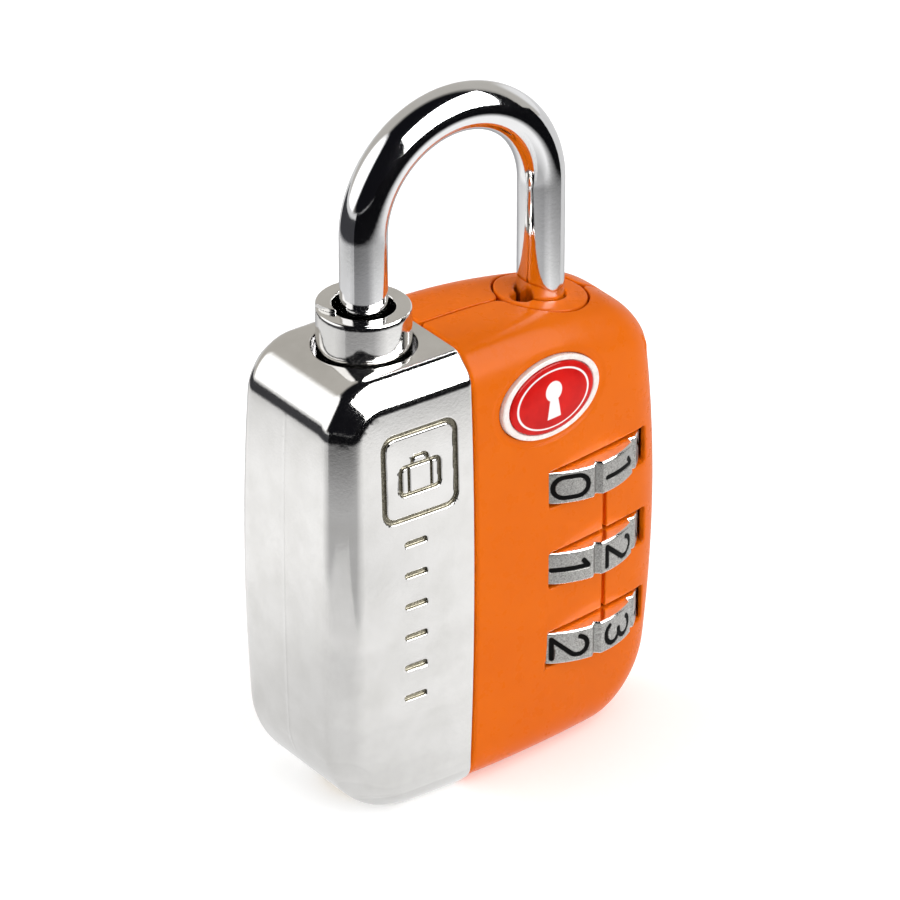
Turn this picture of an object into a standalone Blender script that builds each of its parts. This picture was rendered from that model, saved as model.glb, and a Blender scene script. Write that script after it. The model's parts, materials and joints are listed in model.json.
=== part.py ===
"""Luggage combination padlock: die-cast end block, two-part shell, three dials, shackle and setting collar.

Frame: X runs from the heel of the shackle to its toe, Y from the dial face to the back, Z up.
The origin is under the middle of the body.
Lengths are written in millimetres, and each finished piece is scaled by MM.
"""

import math

import bmesh
import bpy
from mathutils import Matrix, Vector

MM = 0.001

# ---- driving dimensions, mm ----
BODY_W, BODY_H = 35.9, 41.6
# The front and back faces bulge: deepest at (CROWN_X, CROWN_Z), falling off with the square of the distance.
HALF_DEPTH = 7.95
CROWN_X, CROWN_Z = -5.75, 20.8
CROWN_LEFT, CROWN_RIGHT, CROWN_RISE = 0.0012, 0.0049, 0.00154
SEAM_X = -4.12
SEAM_GAP = 0.16
CHAMFER = 1.8
CORNERS = {"top_right": 5.0, "top_left": 4.5, "bottom_left": 8.0, "bottom_right": 7.0}
WALL = 1.3

ROD_R = 2.0
HEEL_X, TOE_X = -9.75, 8.2
ARCH_Z, ARCH_STEPS = 51.25, 16
HEEL_END_Z, TOE_END_Z = 20.0, 34.6

COLLAR_R, COLLAR_BORE_R, COLLAR_TOP_Z, COLLAR_STEP = 3.98, 2.6, 45.4, 0.35
COLLAR_FOOT_Z = 32.75
POCKET_R, POCKET_Z = 4.37, 32.5
CLIP_R, CLIP_Z = 4.6, (38.45, 39.05)
CLIP_GROOVE_Z = (38.25, 39.25)

DIAL_R, DIAL_H, DIAL_BORE_R = 8.35, 3.1, 3.25
DIAL_Z = {"top": 26.5, "middle": 18.75, "bottom": 11.0}
DIGITS = 10
FACE_DEGREES = 360 / DIGITS
WINDOW_X = (3.75, 15.1)
WINDOW_H = 3.45
INDEX_X = 10.1

TOE_DISC_R, TOE_FLANGE_R, TOE_DISC_Z = 3.97, 4.5, 38.55
BADGE_AT, BADGE_SIZE = (4.0, 35.2), (10.7, 7.1)
BADGE_POCKET_DEPTH = 0.55
FRAME_AT, FRAME_STROKE = (-9.65, 32.9), 0.45
BAR_X, BAR_FIRST_Z, BAR_PITCH, BAR_HEIGHT = (-11.3, -9.1), 26.6, 2.95, 0.6
ENGRAVED = 0.28

SLEEVE_R, SLEEVE_H = 3.1, 5.8
SPINDLE_R, SPINDLE_Z = 1.5, (5.0, 34.35)
LUG_REACH = 2.5
PIN_X, PIN_Z = -11.65, 29.4
SLIDER_Z, SLIDER_CHANNEL_Z = (31.3, 32.3), (31.05, 32.6)
LATCH_Z, LATCH_CHANNEL_Z = (35.95, 37.2), (35.65, 37.45)
WEBS_Z = ((6.6, 7.7), (14.3, 15.45), (22.05, 23.2), (29.8, 31.0))
SCREW_Z = {"upper": 26.5, "lower": 18.75}
SCREW_HOLE_R, PIN_HOLE_R = 0.85, 0.85
CASE_PINS = {"upper": (14.3, 35.2), "lower": (12.5, 4.6), "inner": (1.2, 3.9)}
KEY_BORE_R, KEY_BORE_Z = 3.7, 12.3
PLUG_R, PLUG_Z = 2.25, (1.15, 10.6)
WAFER_Z = {"1": 3.4, "2": 5.4, "3": 7.4}
CAM_Z = (10.9, 11.9)

# A cutter that has to pass right through the lock reaches this far.
FAR = 60
THROUGH = (-FAR, FAR)


# ---- materials ----
def material(name, colour, metallic, roughness):
    made = bpy.data.materials.new(name)
    made.use_nodes = True
    shader = made.node_tree.nodes["Principled BSDF"]
    shader.inputs["Base Color"].default_value = (*colour, 1.0)
    shader.inputs["Metallic"].default_value = metallic
    shader.inputs["Roughness"].default_value = roughness
    return made


# ---- mesh helpers: every piece is built in millimetres, and finish() scales it to metres ----
def object_from(name, bm):
    bmesh.ops.triangulate(bm, faces=bm.faces)
    bmesh.ops.recalc_face_normals(bm, faces=bm.faces)
    if bm.calc_volume(signed=True) < 0:
        bmesh.ops.reverse_faces(bm, faces=bm.faces)
    mesh = bpy.data.meshes.new(name)
    bm.to_mesh(mesh)
    bm.free()
    made = bpy.data.objects.new(name, mesh)
    bpy.context.scene.collection.objects.link(made)
    return made


def join_rings(bm, rings):
    """Quads between each ring of vertices and the next, every ring closed on itself."""
    for low, high in zip(rings, rings[1:]):
        count = len(low)
        for i in range(count):
            j = (i + 1) % count
            bm.faces.new((low[i], low[j], high[j], high[i]))


def box(name, x, y, z):
    """A block given by its two ends along each axis."""
    bm = bmesh.new()
    plan = ((x[0], y[0]), (x[1], y[0]), (x[1], y[1]), (x[0], y[1]))
    rings = [[bm.verts.new((px, py, pz)) for px, py in plan] for pz in z]
    join_rings(bm, rings)
    bm.faces.new(rings[0])
    bm.faces.new(rings[1])
    return object_from(name, bm)


def lathe(name, profile, centre, segments=32):
    """Turns a closed profile of (radius, z) round a vertical axis. Points at radius 0 become poles."""
    bm = bmesh.new()
    # The phase keeps the edges of pieces on one axis apart, so that no Boolean meets two edges in one place.
    phase = 0.11 + 0.013 * segments
    turns = [phase + 2 * math.pi * i / segments for i in range(segments)]
    around = [(math.cos(turn), math.sin(turn)) for turn in turns]
    rings = []
    for radius, z in profile:
        if radius == 0:
            rings.append(bm.verts.new((*centre, z)))
            continue
        rings.append([bm.verts.new((centre[0] + radius * x, centre[1] + radius * y, z)) for x, y in around])
    for low, high in zip(rings, rings[1:] + rings[:1]):
        if isinstance(low, bmesh.types.BMVert) and isinstance(high, bmesh.types.BMVert):
            continue
        if isinstance(low, bmesh.types.BMVert) or isinstance(high, bmesh.types.BMVert):
            pole, ring = (low, high) if isinstance(low, bmesh.types.BMVert) else (high, low)
            for i in range(segments):
                bm.faces.new((pole, ring[i], ring[(i + 1) % segments]))
            continue
        join_rings(bm, [low, high])
    return object_from(name, bm)


def rod(name, radius, centre, z, bevel=0.0, segments=24):
    """A vertical cylinder, with both ends bevelled."""
    low, high = z
    if bevel:
        inner = radius - bevel
        side = [(inner, low), (radius, low + bevel), (radius, high - bevel), (inner, high)]
        profile = [(0, low), *side, (0, high)]
    else:
        profile = [(0, low), (radius, low), (radius, high), (0, high)]
    return lathe(name, profile, centre, segments)


def lay(piece, axis, at):
    """Turns a piece built along Z round the origin so that it lies along X or Y, then moves it."""
    turn = Matrix.Rotation(math.pi / 2, 4, "Y") if axis == "X" else Matrix.Rotation(-math.pi / 2, 4, "X")
    piece.data.transform(Matrix.Translation(Vector(at)) @ turn)
    return piece


def prism(name, outline, z, bevel=0.0, about=(0.0, 0.0)):
    """An outline of (x, y) extruded along Z. The bevel shrinks the end outlines towards a point."""
    bm = bmesh.new()
    levels = [(z[0], 0.0), (z[1], 0.0)]
    if bevel:
        levels = [(z[0], bevel), (z[0] + bevel, 0.0), (z[1] - bevel, 0.0), (z[1], bevel)]
    rings = []
    for level, inset in levels:
        ring = []
        for x, y in outline:
            dx, dy = x - about[0], y - about[1]
            scale = 1 - inset / math.hypot(dx, dy) if inset else 1
            ring.append(bm.verts.new((about[0] + dx * scale, about[1] + dy * scale, level)))
        rings.append(ring)
    join_rings(bm, rings)
    bm.faces.new(rings[0])
    bm.faces.new(rings[-1])
    return object_from(name, bm)


def sweep(name, path, sides):
    """A round bar along a path of (point, tangent, radius), all tangents square to Y or on a helix."""
    bm = bmesh.new()
    rings = []
    for point, tangent, radius in path:
        along = Vector(tangent).normalized()
        side = Vector((0, 1, 0)) if abs(along.y) < 0.5 else Vector((1, 0, 0))
        first = along.cross(side).normalized()
        second = along.cross(first)
        ring = []
        for i in range(sides):
            turn = 2 * math.pi * i / sides
            from_centre = math.cos(turn) * first + math.sin(turn) * second
            ring.append(bm.verts.new(Vector(point) + radius * from_centre))
        rings.append(ring)
    join_rings(bm, rings)
    bm.faces.new(rings[0])
    bm.faces.new(rings[-1])
    return object_from(name, bm)


def coil(name, radius, wire, length, turns, steps=12, sides=6):
    """A compression spring standing on z = 0, its axis through the origin."""
    bm = bmesh.new()
    rings = []
    count = turns * steps
    rise = (length - 2 * wire) / count
    for i in range(count + 1):
        turn = 2 * math.pi * i / steps
        out = Vector((math.cos(turn), math.sin(turn), 0))
        centre = out * radius + Vector((0, 0, wire + rise * i))
        ring = []
        for k in range(sides):
            around = 2 * math.pi * k / sides
            from_centre = math.cos(around) * out + math.sin(around) * Vector((0, 0, 1))
            ring.append(bm.verts.new(centre + wire * from_centre))
        rings.append(ring)
    join_rings(bm, rings)
    bm.faces.new(rings[0])
    bm.faces.new(rings[-1])
    return object_from(name, bm)


MERGE = 0.0005


def combine(target, tool, operation):
    """Applies one exact Boolean, merges points that it leaves closer than MERGE, and deletes the tool."""
    step = target.modifiers.new("step", "BOOLEAN")
    step.object = tool
    step.operation = operation
    step.solver = "EXACT"
    bpy.context.view_layer.update()
    graph = bpy.context.evaluated_depsgraph_get()
    made = bpy.data.meshes.new_from_object(target.evaluated_get(graph))
    target.modifiers.clear()
    bm = bmesh.new()
    bm.from_mesh(made)
    bmesh.ops.remove_doubles(bm, verts=bm.verts, dist=MERGE)
    bmesh.ops.dissolve_degenerate(bm, edges=bm.edges, dist=MERGE)
    bmesh.ops.triangulate(bm, faces=bm.faces)
    bm.to_mesh(made)
    bm.free()
    old = target.data
    target.data = made
    bpy.data.meshes.remove(old)
    bpy.data.objects.remove(tool)
    return target


def cut(target, *tools):
    for tool in tools:
        combine(target, tool, "DIFFERENCE")
    return target


def join(target, *tools):
    for tool in tools:
        combine(target, tool, "UNION")
    return target


def keep(target, tool):
    return combine(target, tool, "INTERSECT")


# ---- the crowned, chamfered body that the block and the shells share ----
def half_depth(x, z):
    """How far the front and back faces stand from the middle plane."""
    bow = CROWN_LEFT if x < CROWN_X else CROWN_RIGHT
    return HALF_DEPTH - bow * (x - CROWN_X) ** 2 - CROWN_RISE * (z - CROWN_Z) ** 2


def outline_point(x, z):
    """Bends a straight rounded rectangle into the front outline: bowed sides, and a top that falls away."""
    if x < 0:
        bent = x + 0.0014 * (z - 22) ** 2 * min(1, -x / 17)
    else:
        bent = x - 0.0036 * (z - 21.5) ** 2 * min(1, x / 17)
    fall = 0.0062 * max(0, x + 2) ** 2 * max(0, z / BODY_H) ** 2
    return bent, z - fall


def outline(inset, per_corner, per_side):
    """The front outline as (x, z) points, set in by a distance."""
    half_w = BODY_W / 2 - inset
    low, high = inset, BODY_H - inset
    corners = (
        ("top_right", half_w, high, 0),
        ("top_left", -half_w, high, 90),
        ("bottom_left", -half_w, low, 180),
        ("bottom_right", half_w, low, 270),
    )
    arcs = []
    for name, x, z, start in corners:
        radius = max(CORNERS[name] - inset, 0.6)
        centre_x = x - math.copysign(radius, x)
        centre_z = z - radius if z == high else z + radius
        turns = [math.radians(start + 90 * i / per_corner) for i in range(per_corner + 1)]
        arcs.append([(centre_x + radius * math.cos(t), centre_z + radius * math.sin(t)) for t in turns])
    points = []
    for arc, after in zip(arcs, arcs[1:] + arcs[:1]):
        points += arc
        (x0, z0), (x1, z1) = arc[-1], after[0]
        shares = [i / per_side for i in range(1, per_side)]
        points += [(x0 + (x1 - x0) * share, z0 + (z1 - z0) * share) for share in shares]
    return [outline_point(x, z) for x, z in points]


SIDE_BULGE = 1.002


def body(name, shrink=0.0, per_corner=4, per_side=4):
    """The whole body as one solid, shrunk all round by a distance."""
    # Each level is a ring: how far it is set in from the outline, and how far it stands back from the face.
    levels = [(9.0, 0.0), (3.8, 0.0), (2.0, 0.02), (CHAMFER - 0.1, 0.16), (0.08, CHAMFER - 0.12), (0.0, 2.2)]
    bm = bmesh.new()
    rings = []
    for side, steps in ((-1, levels), (1, levels[::-1])):
        for inset, back in steps:
            points = outline(inset + shrink, per_corner, per_side)
            rings.append([bm.verts.new((x, side * (half_depth(x, z) - shrink - back), z)) for x, z in points])
        if side < 0:
            points = outline(shrink, per_corner, per_side)
            rings.append([bm.verts.new((x * SIDE_BULGE, 0, z)) for x, z in points])
    join_rings(bm, rings)
    for ring in (rings[0], rings[-1]):
        middle = sum((v.co for v in ring), Vector()) / len(ring)
        middle.y = math.copysign(half_depth(middle.x, middle.z) - shrink, middle.y)
        hub = bm.verts.new(middle)
        for i in range(len(ring)):
            bm.faces.new((ring[i], ring[(i + 1) % len(ring)], hub))
    return object_from(name, bm)


def rounded_frame(width, height, radius, centre):
    """A rounded rectangle of (x, z) points."""
    points = []
    for sx, sz, start in ((1, 1, 0), (-1, 1, 90), (-1, -1, 180), (1, -1, 270)):
        for i in range(5):
            turn = math.radians(start + 22.5 * i)
            x = centre[0] + sx * (width / 2 - radius) + radius * math.cos(turn)
            z = centre[1] + sz * (height / 2 - radius) + radius * math.sin(turn)
            points.append((x, z))
    return points


def front_prism(name, points, y):
    """Points of (x, z) extruded along Y."""
    made = prism(name, [(x, -z) for x, z in points], y)
    made.data.transform(Matrix.Rotation(-math.pi / 2, 4, "X"))
    return made


for old in list(bpy.data.objects):
    bpy.data.objects.remove(old)

ORANGE = material("orange_paint", (0.84, 0.18, 0.012), 0.0, 0.32)
NICKEL = material("bright_nickel", (0.78, 0.77, 0.74), 1.0, 0.14)
CHROME = material("chrome_steel", (0.82, 0.82, 0.83), 1.0, 0.06)
DIAL_METAL = material("satin_dial", (0.62, 0.61, 0.58), 1.0, 0.3)
ZINC = material("die_cast_zinc", (0.46, 0.47, 0.48), 1.0, 0.45)
STEEL = material("plain_steel", (0.52, 0.52, 0.53), 1.0, 0.35)
SPRING = material("spring_steel", (0.36, 0.36, 0.38), 1.0, 0.28)
BRASS = material("brass", (0.72, 0.52, 0.22), 1.0, 0.28)
RIM = material("badge_rim", (0.86, 0.84, 0.82), 0.0, 0.3)
RESIN = material("red_resin", (0.72, 0.02, 0.03), 0.0, 0.08)


def finish(piece, surface, smooth=30, origin=None):
    """Scales a piece to metres, gives it material and shading and, if it moves, an origin on its axis."""
    piece.data.transform(Matrix.Scale(MM, 4))
    piece.data.materials.clear()
    piece.data.materials.append(surface)
    piece.data.shade_smooth()
    piece.data.set_sharp_from_angle(angle=math.radians(smooth))
    if origin:
        offset = Vector(origin) * MM
        piece.data.transform(Matrix.Translation(-offset))
        piece.location = offset
    return piece


# ---- end block: collar pocket, heel bore, slider channel and key cylinder bore ----
housing = body("end_housing", per_corner=5)
keep(housing, box("keep", (-FAR, SEAM_X - SEAM_GAP / 2), THROUGH, THROUGH))


def engraved_line(name, width, height, radius, centre, stroke):
    """A closed rounded line, as a cutter that stands in the front face."""
    line = front_prism(name, rounded_frame(width, height, radius, centre), (-12, -5))
    inner = rounded_frame(width - 2 * stroke, height - 2 * stroke, radius - stroke + 0.05, centre)
    return cut(line, front_prism("inside", inner, (-13, -4)))


engraving = engraved_line("frame_mark", 7.6, 8.2, 1.3, FRAME_AT, FRAME_STROKE)
join(engraving, engraved_line("suitcase_mark", 4.2, 2.9, 0.6, (FRAME_AT[0], FRAME_AT[1] - 0.4), 0.35))
cut(engraving, body("skin", ENGRAVED, 3, 3))
cut(housing, engraving)
for row in range(6):
    middle = BAR_FIRST_Z - BAR_PITCH * row
    bar = box("bar", BAR_X, (-12, -5), (middle - BAR_HEIGHT / 2, middle + BAR_HEIGHT / 2))
    cut(housing, cut(bar, body("skin", ENGRAVED, 3, 3)))

pocket_profile = [(0, POCKET_Z), (POCKET_R, POCKET_Z), (POCKET_R, 41.2), (POCKET_R + 0.9, 42.1), (0, 42.1)]
cut(
    housing,
    lathe("pocket", pocket_profile, (HEEL_X, 0), 32),
    rod("clip_groove", CLIP_R + 0.15, (HEEL_X, 0), (CLIP_Z[0] - 0.15, CLIP_Z[1] + 0.15)),
    rod("heel_bore", ROD_R + 0.2, (HEEL_X, 0), (13.1, 33.5), segments=20),
    rod("key_bore", KEY_BORE_R, (HEEL_X, 0), (-2, KEY_BORE_Z)),
    box("slider_channel", (-14.2, -4.75), (-4.2, 4.2), SLIDER_CHANNEL_Z),
    box("slider_exit", (-6.0, 0), (-1.95, 1.95), SLIDER_CHANNEL_Z),
    lay(rod("pin_hole", 0.78, (0, 0), (-6.0, 12.0), segments=12), "Y", (PIN_X, 0, PIN_Z)),
)
for z in SCREW_Z.values():
    cut(housing, lay(rod("screw_hole", SCREW_HOLE_R, (0, 0), (-7.4, 0.0), segments=12), "X", (0, 0, z)))
finish(housing, NICKEL)


# ---- orange shells ----
def shell(name, side):
    """One half of the hollow shell. Side is -1 for the dial face and 1 for the back."""
    made = body(name, per_corner=5)
    near, far = sorted((side * SEAM_GAP / 2, side * FAR))
    keep(made, box("keep", (SEAM_X + SEAM_GAP / 2, FAR), (near, far), THROUGH))
    cut(made, body("hollow", WALL, 3, 3))
    for x, z in CASE_PINS.values():
        start = half_depth(x, z) - 0.9
        low, high = sorted((side * start, side * 0.25))
        join(made, lay(rod("boss", 1.5, (0, 0), (low, high), segments=12), "Y", (x, 0, z)))
        low, high = sorted((side * 3.7, 0))
        cut(made, lay(rod("pin_hole", PIN_HOLE_R, (0, 0), (low, high), segments=12), "Y", (x, 0, z)))
    for z in DIAL_Z.values():
        band = (z - WINDOW_H / 2, z + WINDOW_H / 2)
        near, far = sorted((side * 3.0, side * 12.0))
        cut(made, rod("dial_room", DIAL_R + 0.2, (TOE_X, 0), band, segments=48))
        cut(made, box("window", WINDOW_X, (near, far), band))
    for upper, lower in (("top", "middle"), ("middle", "bottom")):
        span = (DIAL_Z[lower] + WINDOW_H / 2 - 0.2, DIAL_Z[upper] - WINDOW_H / 2 + 0.2)
        near, far = sorted((side * (half_depth(INDEX_X, 18.75) - 0.3), side * 12.0))
        cut(made, box("index", (INDEX_X - 0.22, INDEX_X + 0.22), (near, far), span))
    cut(made, rod("toe_hole", 4.12, (TOE_X, 0), (38.0, 50.0), segments=32))
    return made


def badge_piece(name, profile, segments=32):
    """A round piece turned from (radius, height), stretched to the badge's oval and laid on the front face."""
    made = lathe(name, profile, (0, 0), segments)
    x, z = BADGE_AT
    slope_x, slope_z = 2 * CROWN_RIGHT * (x - CROWN_X), 2 * CROWN_RISE * (z - CROWN_Z)
    out = Vector((slope_x, -1, slope_z)).normalized()
    right = Vector((1, slope_x, 0)).normalized()
    up = out.cross(right)
    base = Matrix((right, up, out)).transposed().to_4x4()
    stretch = Matrix.Diagonal((BADGE_SIZE[0] / 2, BADGE_SIZE[1] / 2, 1, 1))
    place = Matrix.Translation((x, -half_depth(x, z), z))
    made.data.transform(place @ base @ stretch)
    return made


front = shell("front_shell", -1)
pocket = [(0, -BADGE_POCKET_DEPTH), (1.015, -BADGE_POCKET_DEPTH), (1.015, 2.0), (0, 2.0)]
cut(front, badge_piece("badge_pocket", pocket))
finish(front, ORANGE)
finish(shell("rear_shell", 1), ORANGE)

rim = [(0, -0.4), (1.0, -0.4), (1.0, 0.02), (0.97, 0.12), (0.9, 0.12), (0.88, -0.1), (0, -0.1)]
finish(badge_piece("badge_rim", rim), RIM)
dome = [(0, 0.02), (0.85, 0.02), (0.85, 0.1), (0.8, 0.26), (0.66, 0.36), (0.4, 0.43), (0, 0.45)]
finish(badge_piece("badge_dome", dome), RESIN, 50)

disc = body("toe_disc")
keep(disc, rod("keep", TOE_DISC_R, (TOE_X, 0), (TOE_DISC_Z, FAR), segments=32))
flange = body("flange", WALL + 0.3, 3, 3)
keep(flange, rod("keep", TOE_FLANGE_R, (TOE_X, 0), (TOE_DISC_Z - 0.3, TOE_DISC_Z + 0.65)))
join(disc, flange)
cut(
    disc,
    rod("toe_bore", ROD_R + 0.18, (TOE_X, 0), (30, FAR), segments=20),
    rod("notch", 0.95, (TOE_X - 2.35, -0.5), (30, FAR), segments=16),
)
finish(disc, ORANGE)


# ---- shackle ----
def shackle_path():
    middle, radius = (HEEL_X + TOE_X) / 2, (TOE_X - HEEL_X) / 2
    path = []
    for z, r in ((HEEL_END_Z, ROD_R - 0.35), (HEEL_END_Z + 0.35, ROD_R), (32.0, ROD_R), (43.0, ROD_R)):
        path.append(((HEEL_X, 0, z), (0, 0, 1), r))
    for i in range(ARCH_STEPS + 1):
        turn = math.pi * (1 - i / ARCH_STEPS)
        at = (middle + radius * math.cos(turn), 0, ARCH_Z + radius * math.sin(turn))
        path.append((at, (math.sin(turn), 0, -math.cos(turn)), ROD_R))
    for z, r in ((42.5, ROD_R), (TOE_END_Z + 0.45, ROD_R), (TOE_END_Z, ROD_R - 0.45)):
        path.append(((TOE_X, 0, z), (0, 0, -1), r))
    return path


shackle = sweep("shackle", shackle_path(), 18)
cut(
    shackle,
    box("pin_groove", (HEEL_X - 3, HEEL_X - 1.0), (-3, 3), (21.1, 30.3)),
    box("latch_notch", (TOE_X - 3, TOE_X - 1.15), (-3, 3), (35.85, 37.45)),
)
finish(shackle, CHROME, origin=(HEEL_X, 0, HEEL_END_Z))


# ---- setting collar, its clip, and the slider that it shifts ----
def sector(inner, outer, start, end, steps):
    """Part of a ring as (radius, angle) pairs. The angles come in degrees and leave in radians."""
    turns = [math.radians(start + (end - start) * i / steps) for i in range(steps + 1)]
    return [(outer, t) for t in turns] + [(inner, t) for t in reversed(turns)]


collar = lathe(
    "setting_collar",
    [
        (COLLAR_BORE_R, COLLAR_FOOT_Z),
        (COLLAR_R, COLLAR_FOOT_Z),
        (COLLAR_R, CLIP_GROOVE_Z[0] - 0.05),
        (COLLAR_R - 0.48, CLIP_GROOVE_Z[0]),
        (COLLAR_R - 0.48, CLIP_GROOVE_Z[1]),
        (COLLAR_R, CLIP_GROOVE_Z[1] + 0.05),
        (COLLAR_R, COLLAR_TOP_Z - 0.65),
        (COLLAR_R - 0.3, COLLAR_TOP_Z - COLLAR_STEP),
        (COLLAR_BORE_R + 0.25, COLLAR_TOP_Z - COLLAR_STEP),
        (COLLAR_BORE_R, COLLAR_TOP_Z - 0.65),
    ],
    (HEEL_X, 0),
    32,
)
lug_turn = math.radians(-55)
lug_at = (HEEL_X + 3.3 * math.cos(lug_turn), 3.3 * math.sin(lug_turn))
join(collar, rod("lug", 0.5, lug_at, (31.5, 34.0), segments=12))
raised = [(HEEL_X + r * math.cos(t), r * math.sin(t)) for r, t in sector(2.95, COLLAR_R - 0.28, 60, 152, 8)]
join(collar, prism("raised", raised, (COLLAR_TOP_Z - 1, COLLAR_TOP_Z)))
finish(collar, NICKEL, origin=(HEEL_X, 0, COLLAR_FOOT_Z))

clip = lathe(
    "collar_clip",
    [(CLIP_R - 0.95, CLIP_Z[0]), (CLIP_R, CLIP_Z[0]), (CLIP_R, CLIP_Z[1]), (CLIP_R - 0.95, CLIP_Z[1])],
    (HEEL_X, 0),
    24,
)
cut(clip, box("mouth", (HEEL_X - 6, HEEL_X - 2), (-1.4, 1.4), THROUGH))
finish(clip, SPRING)

# A plate with a window round the heel leg, a narrow arm through the chassis, and a fork round the spindle.
slider = box("reset_slider", (-13.3, 9.6), (-3.95, 3.95), SLIDER_Z)
cut(
    slider,
    box("leg_window", (HEEL_X - 3.0, HEEL_X + 3.7), (-3.35, 3.35), THROUGH),
    box("arm_front", (-5.65, 4.9), (-5, -1.6), THROUGH),
    box("arm_back", (-5.65, 4.9), (1.6, 5), THROUGH),
    box("fork", (5.7, 12), (-1.75, 1.75), THROUGH),
    box("fork_front", (4.0, 12), (-5, -2.9), THROUGH),
    box("fork_back", (4.0, 12), (2.9, 5), THROUGH),
)
finish(slider, STEEL, origin=(HEEL_X, 0, 31.8))

pin = lay(rod("retaining_pin", 0.68, (0, 0), (-5.7, 7.3), 0.15, 16), "Y", (PIN_X, 0, PIN_Z))
finish(pin, STEEL)

# ---- chassis: spine, four webs round the spindle, head with the toe bore and the latch channel ----
chassis = box("chassis", (-3.4, -1.9), (-5.0, 5.0), (3.2, 38.0))
for low, high in WEBS_Z:
    join(chassis, box("web", (-3.0, TOE_X), (-4.3, 4.3), (low, high)))
    join(chassis, rod("web_end", 4.5, (TOE_X, 0), (low, high), segments=20))
join(chassis, box("head", (-3.0, 11.4), (-3.4, 3.4), (33.0, 38.0)))
cut(
    chassis,
    rod("spindle_hole", SPINDLE_R + 0.2, (TOE_X, 0), (0, 34.5), segments=16),
    box("lug_way", (TOE_X - 0.7, TOE_X + 0.7), (-LUG_REACH - 0.35, 0), (0, 32.5)),
    rod("toe_bore", ROD_R + 0.2, (TOE_X, 0), (34.2, 45), segments=20),
    box("latch_channel", (-3.1, TOE_X), (-1.65, 1.65), LATCH_CHANNEL_Z),
    box("slider_way", (-5, 0), (-1.95, 1.95), SLIDER_CHANNEL_Z),
)
for z in SCREW_Z.values():
    cut(chassis, lay(rod("screw_way", SCREW_HOLE_R, (0, 0), (-5, 0), segments=12), "X", (0, 0, z)))
finish(chassis, ZINC)

SCREW_SHANK = [(0, -7.1), (0.55, -7.1), (0.72, -6.8), (0.72, -1.7)]
SCREW_HEAD = [(1.3, -1.7), (1.3, -1.2), (1.0, -0.95), (0, -0.95)]
for name, z in SCREW_Z.items():
    screw = lathe(f"chassis_screw_{name}", SCREW_SHANK + SCREW_HEAD, (0, 0), 14)
    cut(screw, box("slot", (-0.2, 0.2), (-2, 2), (-1.3, 0)))
    finish(lay(screw, "X", (0, 0, z)), STEEL)

for name, (x, z) in CASE_PINS.items():
    finish(lay(rod(f"case_pin_{name}", 0.75, (0, 0), (-3.4, 3.4), 0.15, 12), "Y", (x, 0, z)), STEEL)


# ---- dials, their code sleeves and detent leaves ----
def dial_outline():
    """Ten faces on a circle with a V groove between neighbours, one groove at the front."""
    points = []
    for face in range(DIGITS):
        start = -90 + FACE_DEGREES * face
        turn = math.radians(start)
        points.append((TOE_X + (DIAL_R - 0.4) * math.cos(turn), (DIAL_R - 0.4) * math.sin(turn)))
        for share in (0.075, 0.36, 0.64, 0.925):
            turn = math.radians(start + FACE_DEGREES * share)
            points.append((TOE_X + DIAL_R * math.cos(turn), DIAL_R * math.sin(turn)))
    return points


def sleeve_outline():
    """A circle with a shallow notch at each code, which the detent leaf drops into."""
    points = []
    for face in range(DIGITS):
        for offset, radius in ((0, SLEEVE_R - 0.3), (7, SLEEVE_R), (18, SLEEVE_R), (29, SLEEVE_R)):
            turn = math.radians(FACE_DEGREES * face + offset)
            points.append((TOE_X + radius * math.cos(turn), radius * math.sin(turn)))
    return points


for name, z in DIAL_Z.items():
    dial = prism(f"dial_{name}", dial_outline(), (z - DIAL_H / 2, z + DIAL_H / 2), 0.2, (TOE_X, 0))
    cut(dial, rod("bore", DIAL_BORE_R, (TOE_X, 0), (z - 5, z + 5)))
    finish(dial, DIAL_METAL, origin=(TOE_X, 0, z))

    sleeve = prism(f"code_sleeve_{name}", sleeve_outline(), (z - SLEEVE_H / 2, z + SLEEVE_H / 2))
    cut(
        sleeve,
        rod("bore", SPINDLE_R + 0.25, (TOE_X, 0), (z - 5, z + 5), segments=20),
        rod("lug_room", 2.72, (TOE_X, 0), (z - 5, z - 0.7), segments=20),
        box("gate", (TOE_X - 0.65, TOE_X + 0.65), (-LUG_REACH - 0.1, 0), (z - 2, z + 5)),
    )
    finish(sleeve, BRASS, origin=(TOE_X, 0, z))

    leaf = box(f"detent_leaf_{name}", (-1.7, 9.3), (3.35, 3.6), (z + 1.8, z + 2.6))
    join(leaf, box("foot", (-1.7, -1.4), (1.6, 3.5), (z + 1.8, z + 2.6)))
    finish(leaf, SPRING)

# ---- spindle, latch and their springs ----
spindle = rod("spindle", SPINDLE_R, (TOE_X, 0), SPINDLE_Z, 0.3, 20)
for z in DIAL_Z.values():
    join(spindle, box("lug", (TOE_X - 0.45, TOE_X + 0.45), (-LUG_REACH, -0.5), (z - 2.7, z - 1.7)))
finish(spindle, STEEL, origin=(TOE_X, 0, SPINDLE_Z[0]))

spring = coil("spindle_spring", 1.15, 0.22, 3.0, 4, 8, 4)
spring.data.transform(Matrix.Translation((TOE_X, 0, 1.75)))
finish(spring, SPRING, 60)

# The slope of the nose clears the notch while both move: the bolt draws back 0.405 mm for each mm of lift.
nose = [(2.2, LATCH_Z[0]), (6.15, LATCH_Z[0]), (6.65, LATCH_Z[1]), (2.2, LATCH_Z[1])]
finish(front_prism("latch_bolt", nose, (-1.4, 1.4)), STEEL, origin=(4.4, 0, 36.6))
spring = coil("latch_spring", 0.55, 0.16, 1.95, 4, 8, 4)
spring.data.transform(Matrix.Translation((0.1, 0, 36.55)) @ Matrix.Rotation(math.pi / 2, 4, "Y"))
finish(spring, SPRING, 60)

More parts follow.
